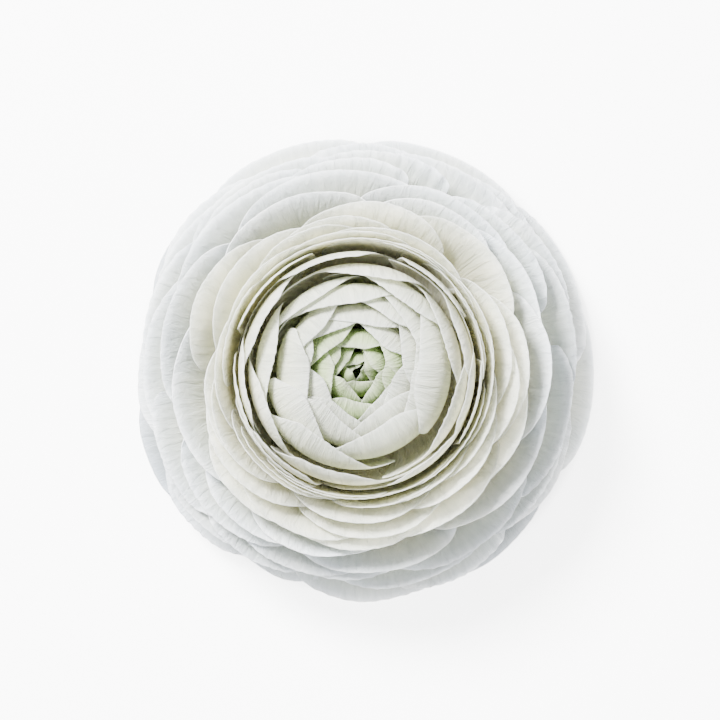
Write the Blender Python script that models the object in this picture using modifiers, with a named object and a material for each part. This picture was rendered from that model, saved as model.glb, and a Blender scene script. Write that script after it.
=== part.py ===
"""A double ranunculus bloom, picked with a short cut stem and laid face up.

The bloom stands on the cut end of its stem and on the drooping tips of its lowest petals.
+Z is the way the flower faces. Every petal is a thin sheet on its own nested shell: shells
near the middle close over the heart, and those further out open until they droop.
Lengths in the tables are millimetres and directions are degrees, counter-clockwise from +X.
"""

import math

import bmesh
import bpy

MM = 0.001

# Driving dimensions
STEM_AXIS = (-2.0, -1.2)
PETAL_THICKNESS = 0.22
SEPAL_THICKNESS = 0.6
LAYER_GAP = 0.95
CLAW_HALF_WIDTH = 1.2
SEAT_GAP = 0.3
STEM_RADIUS = 2.7
STEM_NECK_HEIGHT = 4.3
GUARD_LAYER = 47.0
SEPAL_COUNT = 5
SEPAL_HALF_WIDTH = 4.6

# Each shell's line from the receptacle to its rim, as (radius, height), by the shell's own radius.
SHELLS = {
    2.0: ((0.6, 23.4), (1.3, 24.6), (1.8, 26.8), (2.0, 29.2), (1.7, 31.2), (1.0, 32.2), (0.4, 32.4)),
    10.0: ((2.2, 21.4), (5.8, 23.0), (9.0, 27.0), (10.0, 31.4), (9.0, 35.4), (6.2, 36.8), (2.4, 35.6)),
    19.0: ((3.4, 19.2), (10.6, 21.8), (17.0, 27.0), (19.0, 33.6), (17.8, 39.0), (14.0, 41.2), (8.8, 40.2)),
    22.0: ((3.8, 18.3), (11.7, 20.4), (19.0, 25.6), (21.9, 33.0), (21.8, 38.6), (21.0, 41.6), (19.8, 43.0)),
    26.0: ((4.2, 17.0), (12.6, 18.6), (20.8, 23.2), (24.4, 30.0), (25.4, 35.8), (25.9, 39.4), (26.0, 41.8)),
    31.0: ((4.6, 15.2), (13.6, 16.1), (22.6, 19.8), (27.0, 26.0), (29.4, 32.4), (30.6, 36.4), (31.0, 38.6)),
    38.0: ((5.0, 12.4), (15.0, 12.3), (25.2, 15.2), (31.0, 20.8), (34.8, 26.4), (37.0, 29.4), (38.0, 30.4)),
    44.0: ((5.3, 9.6), (16.0, 8.8), (27.4, 10.4), (34.6, 14.0), (39.6, 17.4), (42.6, 18.6), (44.0, 17.8)),
    47.0: ((5.4, 8.4), (16.6, 6.6), (28.8, 6.8), (37.0, 8.2), (43.0, 7.2), (46.6, 4.6), (48.0, 1.6)),
    51.5: ((5.5, 6.7), (17.2, 3.2), (30.0, 2.0), (38.4, 2.4), (44.6, 1.8), (48.2, 0.9), (49.5, 0.2)),
}

# Lowest ring: direction, reach from the cup's centre, half width.
GUARD_PETALS = (
    (110, 48.6, 17), (26, 49.0, 18), (333, 45.3, 15), (277, 46.0, 17), (222, 45.2, 15), (180, 43.9, 15),
    (66, 48.4, 19), (357, 47.6, 18), (310, 46.3, 16), (247, 43.6, 15), (201, 45.2, 16), (143, 45.4, 18),
)

# Open petals above them: direction, reach, half width.
OPEN_PETALS = (
    (118, 44.5, 17), (48, 46.6, 13), (30, 45.5, 16), (12, 44.3, 18), (343, 43.2, 15), (328, 44.0, 13),
    (288, 43.5, 15), (253, 41.0, 12), (220, 43.3, 15), (206, 42.3, 14), (176, 42.3, 17),
    (65, 45.8, 21), (128, 41.4, 19), (163, 39.3, 16), (192, 36.4, 18), (28, 38.2, 16), (0, 38.0, 14),
    (57, 39.0, 18), (328, 39.0, 17), (305, 42.2, 15), (278, 40.0, 14), (225, 40.3, 14), (256, 37.0, 12),
    (100, 40.0, 18), (229, 34.2, 13), (303, 34.5, 14), (135, 31.3, 16), (72, 28.0, 14), (12, 30.2, 13),
    (274, 29.6, 12), (228, 26.4, 12), (180, 27.5, 12),
)

# Petals that close over the heart: direction, shell, how near the rim comes to the middle,
# half width in degrees, and how much further out the rim ends on its far side.
CLOSED_PETALS = (
    (30, 22.6, 20.8, 34, 0.0), (165, 22.4, 20.4, 36, 0.0), (268, 22.2, 20.2, 34, 0.0), (95, 20.8, 18.9, 36, 0.4),
    (65, 19.3, 16.4, 34, 0.0), (5, 18.2, 11.6, 38, -0.6), (133, 18.4, 16.3, 32, 0.4), (222, 17.6, 11.8, 28, 2.4),
    (290, 17.2, 11.6, 32, 0.0),
)

# Outline of one petal, as shares of its own size.
TIP_DEPTH_SHARE = 1.0
CLAW_SPREAD = 1.5
WIDEST_SHARE = 1.25
CORNER_ROUNDING = 0.10
GRID_ACROSS = 8
GRID_ALONG = 6

# Outline of the heart, the tight green middle that the closed petals hold.
HEART_LINE = ((0.0, 34.2), (2.6, 34.6), (5.4, 34.2), (7.6, 31.6), (7.8, 28.0), (5.6, 24.8), (2.6, 23.9), (0.0, 23.75))

# Sepal line from the stem's neck outward, as (radius, height).
SEPAL_LINE = ((4.3, 4.5), (7.2, 4.1), (10.4, 3.2), (13.6, 1.9), (16.4, 0.32))

COLOURS = {
    "white_petal": (0.86, 0.87, 0.83, 1.0),
    "heart_petal": (0.62, 0.70, 0.45, 1.0),
    "green_stem": (0.30, 0.42, 0.16, 1.0),
    "green_sepal": (0.36, 0.47, 0.20, 1.0),
}


def clear_scene():
    for thing in list(bpy.data.objects):
        bpy.data.objects.remove(thing)


def material(name):
    made = bpy.data.materials.get(name) or bpy.data.materials.new(name)
    made.use_nodes = True
    shader = made.node_tree.nodes["Principled BSDF"]
    shader.inputs["Base Color"].default_value = COLOURS[name]
    shader.inputs["Roughness"].default_value = 0.6
    shader.inputs["Metallic"].default_value = 0.0
    return made


def along_line(points, share):
    """A smooth line through points, at a share of its length from 0 to 1."""
    spans = len(points) - 1
    place = min(max(share, 0.0), 1.0) * spans
    index = min(int(place), spans - 1)
    t = place - index
    before = points[max(index - 1, 0)]
    start, end = points[index], points[index + 1]
    after = points[min(index + 2, spans)]
    return tuple(
        0.5 * (2 * s + (e - p) * t + (2 * p - 5 * s + 4 * e - n) * t**2 + (3 * s - p - 3 * e + n) * t**3)
        for p, s, e, n in zip(before, start, end, after)
    )


def shell_line(layer):
    """The control points of the shell at this layer, blended between the two nearest shells."""
    keys = sorted(SHELLS)
    layer = min(max(layer, keys[0]), keys[-1])
    upper = next(key for key in keys[1:] if layer <= key)
    lower = keys[keys.index(upper) - 1]
    t = (layer - lower) / (upper - lower)
    return [(a[0] + (b[0] - a[0]) * t, a[1] + (b[1] - a[1]) * t) for a, b in zip(SHELLS[lower], SHELLS[upper])]


def share_at_radius(line, radius, inward):
    """Where along a shell's line it reaches this radius: on its way out, or on its way back in."""
    steps = 200
    shares = [step / steps for step in range(steps, steps // 4, -1)]
    for share in shares:
        found = along_line(line, share)[0]
        if (found >= radius) if inward else (found <= radius):
            return share
    return 1.0


def open_petal(direction, reach, half_width, layer=None):
    return {
        "angle": math.radians(direction), "layer": layer or reach, "reach": reach,
        "half_width": half_width, "spread": WIDEST_SHARE * half_width / reach,
    }


def closed_petal(direction, layer, rim_radius, half_angle, skew):
    return {
        "angle": math.radians(direction), "layer": layer, "rim_radius": rim_radius,
        "spread": math.radians(half_angle), "skew": skew,
    }


def all_petals():
    """Every petal from the heart outward, each moved to a free layer where it would touch another."""
    petals = [closed_petal(*row) for row in CLOSED_PETALS]
    petals += [open_petal(*row) for row in OPEN_PETALS]
    petals.sort(key=lambda petal: petal["layer"])
    petals += [open_petal(*row, layer=GUARD_LAYER) for row in GUARD_PETALS]
    for index, petal in enumerate(petals):
        for inner in petals[:index]:
            apart = abs((petal["angle"] - inner["angle"] + math.pi) % (2 * math.pi) - math.pi)
            if apart < petal["spread"] + inner["spread"]:
                petal["layer"] = max(petal["layer"], inner["layer"] + LAYER_GAP)
    return petals


def open_petal_point(petal, line, across, along):
    """A point of an open petal. across runs from -1 to 1 and along from 0 at the claw to 1 at the rim."""
    turn = across * math.pi / 2
    tip_share = share_at_radius(line, petal["reach"], inward=False)
    depth_share = TIP_DEPTH_SHARE * petal["half_width"] / (petal["reach"] * 1.25)
    share = tip_share * along * (1 - depth_share * (1 - math.cos(turn)))
    claw = CLAW_HALF_WIDTH / petal["half_width"]
    width = petal["half_width"] * math.sin(turn) * (claw + (1 - claw) * (1 - (1 - along) ** CLAW_SPREAD))
    radius, height = along_line(line, share)
    return radius, petal["angle"] + width / radius, height


def closed_petal_point(petal, line, across, along):
    """A point of a petal that closes over the heart. Its rim runs straight across, seen from above."""
    offset = petal["spread"] * across
    rim_radius = petal["rim_radius"] / math.cos(offset) + petal["skew"] * across
    end_share = share_at_radius(line, min(rim_radius, petal["layer"] - 0.3), inward=True)
    end_share *= 1 - CORNER_ROUNDING * abs(across) ** 5
    claw = CLAW_HALF_WIDTH / (petal["layer"] * petal["spread"])
    width = claw + (1 - claw) * (1 - (1 - along) ** CLAW_SPREAD)
    radius, height = along_line(line, end_share * along)
    return radius, petal["angle"] + offset * width, height


def sheet(name, collection, place, across, along, thickness, colour):
    """A thin curved sheet: a flat grid whose points place() moves, made solid by Solidify."""
    mesh = bpy.data.meshes.new(name)
    grid = bmesh.new()
    bmesh.ops.create_grid(grid, x_segments=across, y_segments=along, size=1.0)
    for vert in grid.verts:
        radius, angle, height = place(vert.co.x, (vert.co.y + 1) / 2)
        vert.co = (radius * math.cos(angle) * MM, radius * math.sin(angle) * MM, height * MM)
    bmesh.ops.recalc_face_normals(grid, faces=grid.faces)
    grid.to_mesh(mesh)
    grid.free()
    mesh.shade_smooth()
    made = bpy.data.objects.new(name, mesh)
    made.data.materials.append(material(colour))
    made.location = (STEM_AXIS[0] * MM, STEM_AXIS[1] * MM, 0)
    collection.objects.link(made)
    solid = made.modifiers.new("thickness", "SOLIDIFY")
    solid.thickness = thickness * MM
    solid.offset = 0.0
    return made


def make_petals(collection):
    for number, petal in enumerate(all_petals(), start=1):
        line = shell_line(petal["layer"])
        shape = open_petal_point if "reach" in petal else closed_petal_point

        def place(across, along, petal=petal, line=line, shape=shape):
            return shape(petal, line, across, along)

        sheet(f"petal_{number:02d}", collection, place, GRID_ACROSS, GRID_ALONG, PETAL_THICKNESS, "white_petal")


def turned(name, collection, profile, steps, colour):
    """A solid of revolution about +Z from a profile of (radius, height) points, top to bottom."""
    mesh = bpy.data.meshes.new(name)
    mesh.from_pydata([(radius * MM, 0, height * MM) for radius, height in profile],
                     [(i, i + 1) for i in range(len(profile) - 1)], [])
    made = bpy.data.objects.new(name, mesh)
    made.data.materials.append(material(colour))
    made.location = (STEM_AXIS[0] * MM, STEM_AXIS[1] * MM, 0)
    collection.objects.link(made)
    screw = made.modifiers.new("turn", "SCREW")
    screw.steps = screw.render_steps = steps
    screw.use_merge_vertices = True
    screw.merge_threshold = 0.00001
    screw.use_smooth_shade = True
    return made


def make_stem(collection):
    """The receptacle that every petal sits on, and the cut stem below it, which grew as one piece."""
    bases = [shell_line(layer)[0] for layer in sorted(SHELLS)]
    seat = [(max(radius - SEAT_GAP, 0.3), height - SEAT_GAP) for radius, height in bases]
    neck = [(4.6, 5.6), (3.4, STEM_NECK_HEIGHT), (STEM_RADIUS, 3.2), (STEM_RADIUS, 0.0), (0.0, 0.0)]
    turned("stem", collection, [(0.0, seat[0][1] + 0.1)] + seat + neck, 20, "green_stem")


def make_heart(collection):
    """The innermost leaves of the bloom and the carpels under them, too tight to part."""
    fine = [along_line(HEART_LINE, step / 12) for step in range(13)]
    profile = [(max(radius, 0.0), height) for radius, height in fine]
    profile[0] = HEART_LINE[0]
    profile[-1] = HEART_LINE[-1]
    turned("heart", collection, profile, 18, "heart_petal")


def make_sepals(collection):
    for number in range(SEPAL_COUNT):
        middle = 2 * math.pi * (number + 0.3) / SEPAL_COUNT

        def place(across, along, middle=middle):
            turn = across * math.pi / 2
            share = along * (0.45 + 0.55 * math.cos(turn))
            radius, height = along_line(SEPAL_LINE, share)
            width = SEPAL_HALF_WIDTH * math.sin(turn) * (0.32 + 0.68 * math.sin(along * math.pi / 2))
            return radius, middle + width / radius, height

        sheet(f"sepal_{number + 1}", collection, place, 6, 4, SEPAL_THICKNESS, "green_sepal")


def main():
    clear_scene()
    bloom = bpy.data.collections.new("ranunculus_bloom")
    bpy.context.scene.collection.children.link(bloom)
    make_stem(bloom)
    make_heart(bloom)
    make_sepals(bloom)
    make_petals(bloom)


main()
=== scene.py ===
"""A white double ranunculus bloom, laid face up on a pale surface and seen from above."""

import math

import bpy
import numpy as np
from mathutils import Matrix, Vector


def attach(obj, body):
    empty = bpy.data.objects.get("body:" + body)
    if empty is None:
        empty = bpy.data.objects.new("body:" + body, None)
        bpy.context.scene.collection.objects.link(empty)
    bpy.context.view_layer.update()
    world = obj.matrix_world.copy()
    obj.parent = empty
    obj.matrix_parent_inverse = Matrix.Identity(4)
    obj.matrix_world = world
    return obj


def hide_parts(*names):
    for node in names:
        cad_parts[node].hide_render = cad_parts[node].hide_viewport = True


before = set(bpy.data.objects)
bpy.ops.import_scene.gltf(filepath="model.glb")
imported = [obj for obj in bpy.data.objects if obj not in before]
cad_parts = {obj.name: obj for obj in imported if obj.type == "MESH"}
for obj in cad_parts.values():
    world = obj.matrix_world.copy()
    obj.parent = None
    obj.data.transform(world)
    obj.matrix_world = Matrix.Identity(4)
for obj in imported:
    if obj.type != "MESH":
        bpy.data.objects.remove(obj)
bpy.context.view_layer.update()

# The flower's lengths are millimetres, and its directions degrees, counter-clockwise from +X.
MM = 0.001
STEM_AXIS = (-2.0, -1.2)
SEAT_GAP = 0.3

# Petals. The claw is a petal's narrow base, and SWIRL skews the rims of the closed ones.
SHEET = 0.16
FINE_GAP = 0.28
BROADER = 1.15
OUTER_BROADER = 1.06
OUTER_REACH = 42
CLOSED_BROADER = 1.35
SWIRL = 2.6
GUARD_REACH = 1.012
GUARD_LAYER = 47.0
CLAW_HALF_WIDTH = 1.2
CLAW_SPREAD = 1.5
WIDEST_SHARE = 1.25
FOLD_SIZE = 0.05
OUTER_FOLD_SIZE = 0.11
CLOSED_FOLD_SIZE = 0.035
WAVE_SIZE = 0.10
OUTER_WAVE_SIZE = 0.32
ACROSS, ALONG = 44, 40

# The layers at which one look gives way to the next. The heart is inside HEART_LAYER.
HEART_LAYER = 8.6
CORE_LAYER = 10.8
BUD_LAYER = 20.0
MIDDLE_LAYER = 36.0
OUTER_LAYER = GUARD_LAYER + 0.3
# Petals inside the first stand up to their shell's own rim, and those outside the second are pleated.
STANDING_LAYER = 34
PLEATED_LAYER = 40

SEPAL_SHEET = 0.5
SEPAL_COUNT = 5
SEPAL_HALF_WIDTH = 4.6
STEM_STEPS = 48

# The floor, in metres. It gives no light of its own out to the first distance from the middle, a painted
# shadow under the bloom, and glows with its whole painted light beyond the second.
FLOOR_HALF_SIZE = 3.0
FLOOR_PAINTED_SHADOW_RADIUS, FLOOR_BRIGHT, FLOOR_GLOW = 0.042, 0.047, 5.0

# Each shell's line from the receptacle to its rim, as (radius, height), by the shell's layer.
SHELLS = {
    2.0: ((0.6, 23.4), (1.3, 24.6), (1.8, 26.8), (2.0, 29.2), (1.7, 31.2), (1.0, 32.2), (0.4, 32.4)),
    10.0: ((2.2, 21.4), (5.8, 23.0), (9.0, 27.0), (10.0, 31.4), (9.0, 35.4), (6.2, 36.8), (2.4, 35.6)),
    19.0: ((3.4, 19.2), (10.6, 21.8), (17.0, 27.0), (19.0, 33.6), (17.8, 39.0), (14.0, 41.2), (8.8, 40.2)),
    22.0: ((3.8, 18.3), (11.7, 20.4), (19.0, 25.6), (21.9, 33.0), (21.8, 38.6), (21.0, 41.6), (19.8, 43.0)),
    26.0: ((4.2, 17.0), (12.6, 18.6), (20.8, 23.2), (24.4, 30.0), (25.4, 35.8), (25.9, 39.4), (26.0, 41.8)),
    31.0: ((4.6, 15.2), (13.6, 16.3), (21.9, 21.5), (25.4, 28.4), (27.6, 33.6), (29.6, 36.8), (31.2, 38.2)),
    38.0: ((5.0, 12.4), (15.0, 12.4), (24.8, 16.2), (30.0, 22.2), (33.8, 27.2), (36.4, 29.6), (38.2, 30.4)),
    44.0: ((5.3, 9.6), (16.0, 8.8), (27.4, 10.4), (34.6, 14.0), (39.6, 17.4), (42.6, 18.6), (44.0, 17.8)),
    47.0: ((5.4, 8.4), (16.6, 6.6), (28.8, 6.8), (37.0, 8.2), (43.0, 7.2), (46.6, 4.6), (48.0, 1.6)),
    51.5: ((5.5, 6.7), (17.2, 3.2), (30.0, 2.0), (38.4, 2.4), (44.6, 1.8), (48.2, 0.9), (49.5, 0.2)),
}
KEYS = np.array(sorted(SHELLS))
LINES = np.array([SHELLS[key] for key in sorted(SHELLS)])

# The CAD's lowest ring, and its open petals: direction, reach, half width.
GUARD_PETALS = (
    (110, 48.6, 17), (26, 49.0, 18), (333, 45.3, 15), (277, 46.0, 17), (222, 45.2, 15), (180, 43.9, 15),
    (66, 48.4, 19), (357, 47.6, 18), (310, 46.3, 16), (247, 43.6, 15), (201, 45.2, 16), (143, 45.4, 18),
)
OPEN_PETALS = (
    (118, 44.5, 17), (48, 46.6, 13), (30, 45.5, 16), (12, 44.3, 18), (343, 43.2, 15), (328, 44.0, 13),
    (288, 43.5, 15), (253, 41.0, 12), (220, 43.3, 15), (206, 42.3, 14), (176, 42.3, 17),
    (65, 45.8, 21), (128, 41.4, 19), (163, 39.3, 16), (192, 36.4, 18), (28, 38.2, 16), (0, 38.0, 14),
    (57, 39.0, 18), (328, 39.0, 17), (305, 42.2, 15), (278, 40.0, 14), (225, 40.3, 14), (256, 37.0, 12),
    (100, 40.0, 18), (229, 34.2, 13), (303, 34.5, 14), (135, 31.3, 16), (72, 28.0, 14), (12, 30.2, 13),
    (274, 29.6, 12), (228, 26.4, 12), (180, 27.5, 12),
)
# The CAD's petals that close over the heart: direction, layer, the rim's distance from the
# middle, half width in degrees.
CLOSED_PETALS = (
    (30, 22.6, 20.8, 34), (165, 22.4, 20.4, 36), (268, 22.2, 20.2, 34), (95, 20.8, 18.9, 36),
    (65, 19.3, 16.4, 34), (5, 18.2, 11.6, 38), (133, 18.4, 16.3, 32), (222, 17.6, 11.8, 28),
    (290, 17.2, 11.6, 32),
)
# Further petals between them, too close to their neighbours to be solids of their own.
MORE_OPEN = (
    (88, 46.3, 13), (66, 47.2, 14), (32, 47.5, 14), (298, 46.2, 12), (160, 43.4, 13), (240, 42.6, 11),
    (266, 41.2, 12), (235, 37.8, 13), (217, 31.6, 16), (207, 29.4, 12), (235, 25.6, 11), (250, 33.8, 13),
    (270, 35.0, 11), (278, 32.7, 13), (350, 31.5, 12), (60, 36.3, 12), (20, 26.6, 12), (28, 24.8, 12),
    (72, 24.8, 13), (112, 29.0, 9), (160, 25.7, 10), (122, 43.0, 11), (143, 44.6, 13), (95, 42.2, 12),
    (100, 30.2, 10), (300, 26.5, 11), (198, 30.0, 13), (284, 26.4, 9), (315, 30.5, 12), (335, 34.5, 13),
    (255, 24.6, 11), (200, 24.2, 11), (115, 36.5, 14), (150, 34.5, 13), (85, 33.0, 13), (40, 42.0, 15),
    (52, 25.4, 12), (350, 26.0, 12), (322, 25.4, 12), (222, 24.4, 11), (95, 27.0, 12), (135, 27.0, 12),
    (0, 33.5, 14), (45, 35.0, 14), (330, 28.0, 12), (85, 44.0, 14), (135, 46.2, 13), (20, 47.2, 12),
)
MORE_CLOSED = (
    (0, 23.2, 21.8, 36), (120, 23.3, 21.9, 36), (200, 23.2, 21.8, 34), (300, 23.4, 22.0, 34),
    (62, 23.9, 22.6, 36), (245, 23.9, 22.6, 34), (150, 24.5, 23.2, 32), (30, 24.7, 23.4, 32),
    (92, 24.9, 23.7, 32), (332, 24.6, 23.3, 32), (275, 24.8, 23.6, 32),
    (330, 21.4, 19.4, 34), (215, 21.0, 18.8, 36), (182, 19.6, 16.6, 34), (250, 19.2, 15.2, 32),
    (30, 20.2, 17.8, 34), (112, 17.0, 13.4, 38), (45, 16.4, 12.8, 34), (335, 16.2, 10.8, 34),
    (190, 15.6, 9.6, 34), (245, 15.0, 9.4, 32), (150, 14.6, 10.8, 36), (300, 14.0, 8.6, 34),
    (20, 13.6, 9.4, 36), (90, 13.0, 9.2, 36), (330, 12.4, 7.2, 34), (215, 12.0, 6.8, 34),
    (60, 11.2, 7.2, 36), (140, 10.6, 6.6, 38), (270, 10.2, 5.8, 36), (5, 9.4, 5.2, 36),
    (190, 8.9, 4.6, 36), (95, 8.3, 4.4, 38), (320, 7.6, 3.8, 38), (235, 6.9, 3.1, 40),
    (40, 6.3, 2.9, 42), (150, 5.7, 2.5, 42), (280, 5.0, 2.0, 44), (20, 4.4, 1.6, 46),
    (75, 15.3, 12.2, 34), (5, 14.9, 11.4, 34), (120, 12.5, 9.0, 34), (250, 12.7, 8.0, 34),
    (180, 13.3, 9.0, 34), (310, 11.0, 6.6, 34), (35, 9.9, 6.0, 36), (165, 8.0, 4.3, 38),
    (110, 3.8, 1.3, 48), (220, 3.2, 1.0, 50), (330, 2.6, 0.7, 58), (130, 2.1, 0.5, 64),
)


def open_petal(direction, reach, half_width, layer=None):
    """Inner petals are the broadest for their place, so their sides hide behind their neighbours."""
    half_width *= BROADER if reach < OUTER_REACH else OUTER_BROADER
    return {"angle": math.radians(direction), "layer": layer or reach, "reach": reach,
            "half_width": half_width, "spread": WIDEST_SHARE * half_width / reach}


def closed_petal(direction, layer, rim_radius, half_angle):
    return {"angle": math.radians(direction), "layer": layer, "rim_radius": rim_radius,
            "spread": math.radians(half_angle * CLOSED_BROADER)}


def spaced(petals, gap):
    """Moves each petal, from the heart outward, to a free layer outside the ones it overlaps."""
    for index, petal in enumerate(petals):
        for inner in petals[:index]:
            apart = abs((petal["angle"] - inner["angle"] + math.pi) % (2 * math.pi) - math.pi)
            if apart < petal["spread"] + inner["spread"]:
                petal["layer"] = max(petal["layer"], inner["layer"] + gap)
    return petals


def numbered_petals():
    """The petals that are CAD nodes, each with its node's name."""
    petals = [closed_petal(*row) for row in CLOSED_PETALS] + [open_petal(*row) for row in OPEN_PETALS]
    petals.sort(key=lambda petal: petal["layer"])
    petals += [open_petal(row[0], row[1] * GUARD_REACH, row[2], layer=GUARD_LAYER) for row in GUARD_PETALS]
    for number, petal in enumerate(petals, start=1):
        petal["node"] = f"petal_{number:02d}"
    return petals


def all_petals():
    """Every petal shown, from the heart outward. Those with no node get a piece name of their own."""
    more = [closed_petal(*row) for row in MORE_CLOSED] + [open_petal(*row) for row in MORE_OPEN]
    for number, petal in enumerate(more, start=1):
        petal["piece"] = f"inner_petal_{number:02d}"
    petals = numbered_petals() + more
    petals.sort(key=lambda petal: petal["layer"])
    return spaced(petals, FINE_GAP)


def on_shell(layer, share):
    """Radius and height on the shells, for arrays of layers and of shares of each shell's line."""
    layer = np.clip(layer, KEYS[0], KEYS[-1])
    controls = np.stack([
        np.stack([np.interp(layer, KEYS, LINES[:, i, j]) for j in (0, 1)], axis=-1)
        for i in range(LINES.shape[1])
    ])
    spans = LINES.shape[1] - 1
    place = np.clip(share, 0.0, 1.0) * spans
    index = np.minimum(place.astype(int), spans - 1)
    t = (place - index)[..., None]

    def control(number):
        number = np.clip(number, 0, spans)
        return np.take_along_axis(controls, number[None, ..., None], axis=0)[0]

    p, s, e, n = control(index - 1), control(index), control(index + 1), control(index + 2)
    found = 0.5 * (2 * s + (e - p) * t + (2 * p - 5 * s + 4 * e - n) * t**2 + (3 * s - p - 3 * e + n) * t**3)
    return found[..., 0], found[..., 1]


def share_at(layer, radius):
    """The share of a shell's line at which it has opened to this radius."""
    shares = np.linspace(1.0, 0.25, 300)
    found, _ = on_shell(np.full(shares.shape, layer), shares)
    hits = np.nonzero(found <= radius)[0]
    return shares[hits[0]] if len(hits) else 1.0


def ruffle(rng, turn, along, size):
    """How far a petal leaves its own shell: slow waves that grow towards the rim."""
    waves = np.zeros_like(turn)
    for count, weight in ((1.0, 0.5), (2.3, 0.45), (4.1, 0.3), (7.3, 0.16)):
        waves += weight * np.sin(count * turn + rng.uniform(0, 2 * math.pi)) * rng.uniform(0.5, 1.0)
    return size * waves * along**3


def pleats(rng, turn, along, half_width):
    """Fine folds that run from claw to rim."""
    count = half_width / rng.uniform(1.1, 1.6)
    bend = 0.6 * np.sin(2.1 * turn + rng.uniform(0, 6))
    return np.sin(count * np.sin(turn) * math.pi + bend + rng.uniform(0, 6)) * along**2


def open_points(petal, rng, across, along):
    """The points of a petal of the cup or of the rings round it. Its rim is round, seen from above."""
    turn = across * math.pi / 2
    layer = petal["layer"]
    tip_share = share_at(layer, petal["reach"])
    if layer < STANDING_LAYER:
        tip_share = max(tip_share, 0.93 + 0.06 * rng.random())
    depth = petal["half_width"] / (petal["reach"] * 1.25)
    rim = 1 + 0.012 * np.sin(3 * turn + rng.uniform(0, 6)) + 0.008 * np.sin(7 * turn + rng.uniform(0, 6))
    drop = 1 - (1 - np.abs(np.sin(turn)) ** 2.0) ** 0.66
    share = tip_share * along * (1 - 0.95 * depth * drop) * (1 + (rim - 1) * along**4)
    claw = CLAW_HALF_WIDTH / petal["half_width"]
    width = petal["half_width"] * np.sin(turn) * (claw + (1 - claw) * (1 - (1 - along) ** CLAW_SPREAD))
    waves = ruffle(rng, turn, along, OUTER_WAVE_SIZE if layer > MIDDLE_LAYER else WAVE_SIZE)
    fold_size = OUTER_FOLD_SIZE if layer > PLEATED_LAYER else FOLD_SIZE
    folds = pleats(rng, turn, along, petal["half_width"]) * fold_size
    radius, height = on_shell(layer + waves + folds, share)
    return radius, petal["angle"] + width / radius, height


def closed_points(petal, rng, across, along):
    """The points of a petal that closes over the heart. Its rim runs nearly straight across."""
    offset = petal["spread"] * across
    sweep = -0.7 if 285 < math.degrees(petal["angle"]) < 345 else 1.0
    rim_radius = petal["rim_radius"] / np.cos(offset * 0.85) + SWIRL * sweep * across * petal["layer"] / 18
    rim_radius = rim_radius + 0.25 * np.sin(3 * across + rng.uniform(0, 6)) * min(1, petal["layer"] / 15)
    shares = np.linspace(1.0, 0.25, 200)
    radii, _ = on_shell(np.full(shares.shape, petal["layer"]), shares)
    wanted = np.minimum(rim_radius[0], petal["layer"] - 0.3)
    ends = np.array([shares[np.nonzero(radii >= r)[0][0]] if (radii >= r).any() else 0.5 for r in wanted])
    ends = ends * (1 - 0.2 * np.abs(across[0]) ** 4)
    claw = CLAW_HALF_WIDTH / (petal["layer"] * petal["spread"])
    width = claw + (1 - claw) * (1 - (1 - along) ** CLAW_SPREAD)
    waves = ruffle(rng, across * 1.6, along, WAVE_SIZE)
    folds = CLOSED_FOLD_SIZE * pleats(rng, across * 1.5, along, petal["layer"] * 0.7)
    radius, height = on_shell(petal["layer"] + waves + folds, ends[None, :] * along)
    return radius, petal["angle"] + offset * width, height


def settled(radius, angle, height):
    """Bends the whole bloom a little, all its petals together, so that it isn't quite regular."""
    angle = angle + 0.03 * np.sin(2 * angle + 0.5 + height * 0.05)
    height = height * (1 + 0.04 * np.sin(2 * angle + 0.6) + 0.03 * np.sin(5 * angle + 1.7) * radius / 45)
    return radius, angle, height


def new_object(name, points, faces, uvs=None):
    mesh = bpy.data.meshes.new(name)
    mesh.from_pydata(points, [], faces)
    if uvs is not None:
        layer = mesh.uv_layers.new(name="petal")
        order = np.zeros(len(mesh.loops), dtype=np.int32)
        mesh.loops.foreach_get("vertex_index", order)
        layer.data.foreach_set("uv", np.asarray(uvs, dtype=np.float32)[order].ravel())
    mesh.shade_smooth()
    made = bpy.data.objects.new(name, mesh)
    bpy.context.scene.collection.objects.link(made)
    return made


def sheet(name, radius, angle, height, thickness, look):
    """A thin sheet through a grid of points, given round the stem's axis."""
    rows, columns = radius.shape
    x = (STEM_AXIS[0] + radius * np.cos(angle)) * MM
    y = (STEM_AXIS[1] + radius * np.sin(angle)) * MM
    z = np.maximum(height, thickness / 2 + 0.05) * MM
    points = np.stack([x, y, z], axis=-1).reshape(-1, 3).tolist()
    faces = [
        (r * columns + c, r * columns + c + 1, (r + 1) * columns + c + 1, (r + 1) * columns + c)
        for r in range(rows - 1) for c in range(columns - 1)
    ]
    u, v = np.meshgrid(np.linspace(0, 1, columns), np.linspace(0, 1, rows))
    made = new_object(name, points, faces, np.stack([u.ravel(), v.ravel()], axis=-1))
    made.data.materials.append(look)
    solid = made.modifiers.new("thickness", "SOLIDIFY")
    solid.thickness = thickness * MM
    solid.offset = 0.0
    return made


def grid(columns, rows):
    """Across from -1 to 1, and along from 0 to 1 with closer rows near the rim."""
    along = np.linspace(0, 1, rows)
    along = 1 - (1 - along) ** 1.25
    return np.meshgrid(np.linspace(-1, 1, columns), along)


class Look:
    """A material's nodes."""

    def __init__(self, name):
        self.made = bpy.data.materials.new(name)
        self.made.use_nodes = True
        self.nodes = self.made.node_tree.nodes
        self.nodes.clear()

    def node(self, kind, **values):
        made = self.nodes.new(kind)
        for name, value in values.items():
            if name in made.inputs:
                made.inputs[name].default_value = value
            else:
                setattr(made, name, value)
        return made

    def link(self, source, target):
        self.made.node_tree.links.new(source, target)


def ramp(look, factor, stops):
    """A colour ramp through stops of (position, colour)."""
    made = look.node("ShaderNodeValToRGB")
    points = made.color_ramp.elements
    while len(points) < len(stops):
        points.new(0.5)
    for point, (place, colour) in zip(points, stops):
        point.position = place
        point.color = (*colour, 1.0)
    look.link(factor, made.inputs["Fac"])
    return made.outputs["Color"]


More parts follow.
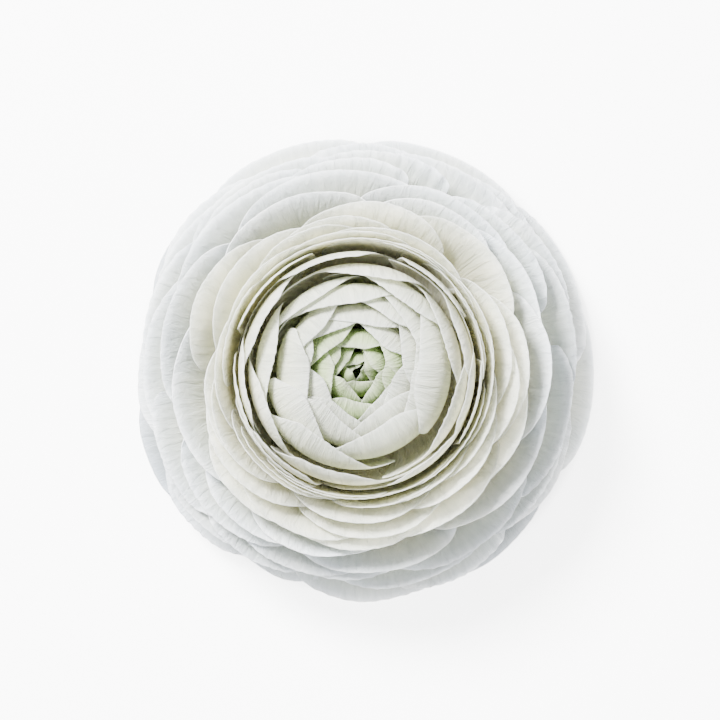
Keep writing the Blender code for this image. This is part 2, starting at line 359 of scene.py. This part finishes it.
def tinted(look, colour, tint):
    """One colour multiplied by another."""
    made = look.node("ShaderNodeMix", data_type="RGBA", blend_type="MULTIPLY")
    made.inputs[0].default_value = 1.0
    look.link(colour, made.inputs[6])
    look.link(tint, made.inputs[7])
    return made.outputs[2]


def petal_look(name, stops, through, veil, seed):
    """Petal tissue: a colour that changes from claw to rim, and fine veins along the petal, with painted
    shade in their grooves.

    through is the share of light that comes through, and veil the tint of the cloudy patches.
    """
    look = Look(name)
    uv = look.node("ShaderNodeUVMap", uv_map="petal")
    split = look.node("ShaderNodeSeparateXYZ")
    look.link(uv.outputs["UV"], split.inputs[0])
    colour = ramp(look, split.outputs["Y"], stops)

    stretch = look.node("ShaderNodeMapping")
    stretch.inputs["Scale"].default_value = (17.0, 1.5, 1.0)
    stretch.inputs["Location"].default_value = (seed, seed * 0.7, seed)
    look.link(uv.outputs["UV"], stretch.inputs["Vector"])
    veins = look.node("ShaderNodeTexNoise", Scale=1.6, Detail=4.0, Roughness=0.62, Distortion=0.5)
    look.link(stretch.outputs["Vector"], veins.inputs["Vector"])
    place = look.node("ShaderNodeTexCoord")
    cloud = look.node("ShaderNodeTexNoise", Scale=70.0, Detail=3.0, Roughness=0.55)
    look.link(place.outputs["Object"], cloud.inputs["Vector"])

    # Darker where the veins' bump is low: partly the veins' own tone, partly painted shade in the grooves.
    vein_tone_and_painted_shade = ramp(look, veins.outputs["Fac"], ((0.32, (0.87, 0.885, 0.885)), (0.6, (1.0, 1.0, 1.0))))
    patch = ramp(look, cloud.outputs["Fac"], ((0.3, veil), (0.65, (1.0, 1.0, 1.0))))
    tissue = tinted(look, tinted(look, colour, vein_tone_and_painted_shade), patch)

    bump = look.node("ShaderNodeBump", Strength=0.8, Distance=0.0009)
    look.link(veins.outputs["Fac"], bump.inputs["Height"])
    skin = look.node("ShaderNodeBsdfPrincipled", Roughness=0.52)
    skin.inputs["Specular IOR Level"].default_value = 0.32
    skin.inputs["Sheen Weight"].default_value = 0.12
    look.link(tissue, skin.inputs["Base Color"])
    look.link(bump.outputs["Normal"], skin.inputs["Normal"])
    glow = look.node("ShaderNodeBsdfTranslucent")
    look.link(tissue, glow.inputs["Color"])
    look.link(bump.outputs["Normal"], glow.inputs["Normal"])
    mixed = look.node("ShaderNodeMixShader")
    mixed.inputs[0].default_value = through
    look.link(skin.outputs[0], mixed.inputs[1])
    look.link(glow.outputs[0], mixed.inputs[2])
    out = look.node("ShaderNodeOutputMaterial")
    look.link(mixed.outputs[0], out.inputs["Surface"])
    return look.made


def green_look(name, dark, light, scale):
    """Matt green tissue with small flecks of a lighter green."""
    look = Look(name)
    place = look.node("ShaderNodeTexCoord")
    fleck = look.node("ShaderNodeTexNoise", Scale=scale, Detail=5.0, Roughness=0.6)
    look.link(place.outputs["Object"], fleck.inputs["Vector"])
    colour = ramp(look, fleck.outputs["Fac"], ((0.3, dark), (0.7, light)))
    bump = look.node("ShaderNodeBump", Strength=0.4, Distance=0.0003)
    look.link(fleck.outputs["Fac"], bump.inputs["Height"])
    skin = look.node("ShaderNodeBsdfPrincipled", Roughness=0.55)
    skin.inputs["Sheen Weight"].default_value = 0.3
    look.link(colour, skin.inputs["Base Color"])
    look.link(bump.outputs["Normal"], skin.inputs["Normal"])
    out = look.node("ShaderNodeOutputMaterial")
    look.link(skin.outputs[0], out.inputs["Surface"])
    return look.made


def petal_looks():
    """The petals' looks. Each ramp runs from the claw at 0 to the rim at 1; the guard, outer and middle
    ramps hold painted shade.
    """
    cool, plain = (0.86, 0.89, 0.93), (0.96, 0.965, 0.95)
    # The guard ramp is grey far below the petals' white, as painted shade of the lowest petals, darkest at
    # the very rim; only its green tint at the claw is the petals' own.
    guard = ((0.0, (0.36, 0.43, 0.22)), (0.5, (0.42, 0.45, 0.39)), (0.8, (0.34, 0.365, 0.365)),
             (0.91, (0.50, 0.53, 0.56)), (0.975, (0.62, 0.655, 0.70)), (1.0, (0.26, 0.27, 0.265)))
    # The outer ramp greys from the rim inward as painted shade under the petal above; only its green tint at
    # the claw is the petals' own.
    outer = ((0.0, (0.60, 0.64, 0.40)), (0.5, (0.76, 0.77, 0.64)), (0.72, (0.62, 0.645, 0.60)),
             (0.86, (0.74, 0.77, 0.765)), (0.95, (0.94, 0.96, 0.975)), (1.0, (1.0, 1.0, 1.0)))
    # The middle ramp's cream, deeper and darker towards the claw, is partly the petals' own cream base and
    # partly painted warm shade of the cup's crevices.
    middle = ((0.0, (0.90, 0.86, 0.54)), (0.35, (0.98, 0.955, 0.76)), (0.7, (0.975, 0.965, 0.85)),
              (0.93, (0.95, 0.95, 0.89)), (1.0, (1.0, 1.0, 0.97)))
    bud = ((0.0, (0.56, 0.64, 0.28)), (0.45, (0.90, 0.92, 0.68)), (0.75, (0.94, 0.945, 0.82)),
           (0.93, (0.92, 0.935, 0.86)), (1.0, (1.0, 1.0, 0.97)))
    core = ((0.0, (0.34, 0.46, 0.12)), (0.55, (0.54, 0.68, 0.28)), (0.85, (0.70, 0.81, 0.48)),
            (1.0, (0.90, 0.95, 0.76)))
    return {
        "guard": petal_look("petal_guard_painted_shade", guard, 0.06, cool, 2.9),
        "outer": petal_look("petal_outer_painted_shade", outer, 0.14, cool, 1.3),
        "middle": petal_look("petal_middle_cream_and_painted_shade", middle, 0.55, plain, 4.1),
        "bud": petal_look("petal_bud", bud, 0.5, plain, 7.7),
        "core": petal_look("petal_core", core, 0.45, plain, 9.2),
    }


def look_for(looks, layer):
    if layer < CORE_LAYER:
        return looks["core"]
    if layer < BUD_LAYER:
        return looks["bud"]
    if layer < MIDDLE_LAYER:
        return looks["middle"]
    return looks["outer"] if layer < OUTER_LAYER else looks["guard"]


def make_petals():
    looks = petal_looks()
    rng = np.random.default_rng(20)
    across, along = grid(ACROSS, ALONG)
    for petal in all_petals():
        shape = open_points if "reach" in petal else closed_points
        radius, angle, height = settled(*shape(petal, rng, across, along))
        name = "shown_" + petal["node"] if "node" in petal else petal["piece"]
        made = sheet(name, radius, angle, height, SHEET, look_for(looks, petal["layer"]))
        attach(made, "root")
        if "node" in petal:
            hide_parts(petal["node"])
        in_heart = petal["layer"] < HEART_LAYER
        if in_heart:
            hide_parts("heart")


def make_stem():
    """The receptacle and the cut stub of stem under it."""
    seat = [(line[0][0] - SEAT_GAP, line[0][1] - SEAT_GAP) for _, line in sorted(SHELLS.items())]
    neck = [(4.6, 5.6), (3.4, 4.3), (2.8, 3.4), (2.7, 2.6), (2.7, 0.3), (2.5, 0.0), (1.4, 0.15), (0.0, 0.2)]
    profile = [(0.0, seat[0][1] + 0.1)] + seat + neck
    points = []
    for radius, height in profile:
        for step in range(STEM_STEPS):
            angle = 2 * math.pi * step / STEM_STEPS
            rib = 1 + 0.03 * math.sin(9 * angle)
            points.append(((STEM_AXIS[0] + radius * rib * math.cos(angle)) * MM,
                           (STEM_AXIS[1] + radius * rib * math.sin(angle)) * MM, height * MM))
    faces = []
    for row in range(len(profile) - 1):
        upper, lower = row * STEM_STEPS, (row + 1) * STEM_STEPS
        for step in range(STEM_STEPS):
            after = (step + 1) % STEM_STEPS
            faces.append((upper + step, lower + step, lower + after, upper + after))
    made = new_object("shown_stem", points, faces)
    weld = made.modifiers.new("weld", "WELD")
    weld.merge_threshold = 0.00001
    made.data.materials.append(green_look("stem_green", (0.16, 0.26, 0.07), (0.36, 0.48, 0.18), 300.0))
    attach(made, "root")
    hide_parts("stem")


def make_sepals():
    line = np.array(((4.3, 4.5), (7.2, 4.1), (10.4, 3.2), (13.6, 1.9), (16.4, 0.4)))
    look = green_look("sepal_green", (0.24, 0.33, 0.10), (0.50, 0.58, 0.28), 260.0)
    across, along = grid(24, 24)
    for number in range(SEPAL_COUNT):
        middle = 2 * math.pi * (number + 0.3) / SEPAL_COUNT
        turn = across * math.pi / 2
        share = along * (0.45 + 0.55 * np.cos(turn)) * (len(line) - 1)
        radius = np.interp(share, range(len(line)), line[:, 0])
        height = np.interp(share, range(len(line)), line[:, 1]) + 0.5 * (across**2) * along * (1 - along)
        width = SEPAL_HALF_WIDTH * np.sin(turn) * (0.32 + 0.68 * np.sin(along * math.pi / 2))
        made = sheet(f"shown_sepal_{number + 1}", radius, middle + width / radius, height, SEPAL_SHEET, look)
        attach(made, "root")
        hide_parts(f"sepal_{number + 1}")


def make_stage():
    """A white floor that glows with painted light beyond the bloom, so that it stays as white as the
    background, and is left unlit under the bloom as a painted shadow.
    """
    far = FLOOR_HALF_SIZE
    corners = [(-far, -far, 0), (far, -far, 0), (far, far, 0), (-far, far, 0)]
    floor = new_object("floor", corners, [(0, 1, 2, 3)])
    look = Look("floor_white")
    skin = look.node("ShaderNodeBsdfPrincipled", Roughness=0.9)
    skin.inputs["Base Color"].default_value = (0.97, 0.97, 0.97, 1.0)
    skin.inputs["Emission Color"].default_value = (1.0, 1.0, 1.0, 1.0)
    place = look.node("ShaderNodeTexCoord")
    away = look.node("ShaderNodeVectorMath", operation="LENGTH")
    look.link(place.outputs["Object"], away.inputs[0])
    # Painted shadow under the bloom, and painted light from the floor beyond it.
    glow = look.node("ShaderNodeMapRange")
    glow.inputs["From Min"].default_value = FLOOR_PAINTED_SHADOW_RADIUS
    glow.inputs["From Max"].default_value = FLOOR_BRIGHT
    glow.inputs["To Min"].default_value = 0.0
    glow.inputs["To Max"].default_value = FLOOR_GLOW
    look.link(away.outputs["Value"], glow.inputs["Value"])
    look.link(glow.outputs["Result"], skin.inputs["Emission Strength"])
    out = look.node("ShaderNodeOutputMaterial")
    look.link(skin.outputs[0], out.inputs["Surface"])
    floor.data.materials.append(look.made)


def lamp(name, place, size, power, colour):
    """A round soft lamp that faces the bloom."""
    data = bpy.data.lights.new(name, "AREA")
    data.shape = "DISK"
    data.size = size
    data.energy = power
    data.color = colour
    made = bpy.data.objects.new(name, data)
    made.location = place
    made.rotation_euler = (Vector((0, 0, 0.02)) - Vector(place)).to_track_quat("-Z", "Y").to_euler()
    bpy.context.scene.collection.objects.link(made)


def make_light():
    world = bpy.data.worlds.new("soft_room")
    world.use_nodes = True
    background = world.node_tree.nodes["Background"]
    background.inputs["Color"].default_value = (0.97, 0.985, 1.0, 1.0)
    background.inputs["Strength"].default_value = 0.9
    bpy.context.scene.world = world
    lamp("overhead", (-0.5, 0.55, 0.9), 0.4, 76.0, (1.0, 1.0, 1.0))
    lamp("side", (0.8, -0.3, 0.7), 0.6, 5.0, (1.0, 0.985, 0.96))


def make_camera():
    data = bpy.data.cameras.new("camera")
    data.lens = 195.0
    data.sensor_width = 36.0
    made = bpy.data.objects.new("camera", data)
    bpy.context.scene.collection.objects.link(made)
    target = Vector((-0.0014, 0.0012, 0.014))
    made.location = target + Vector((0.0, -0.012, 0.78))
    made.rotation_euler = (target - made.location).to_track_quat("-Z", "Y").to_euler()
    bpy.context.scene.camera = made


def main():
    make_petals()
    make_stem()
    make_sepals()
    make_stage()
    make_light()
    make_camera()


main()
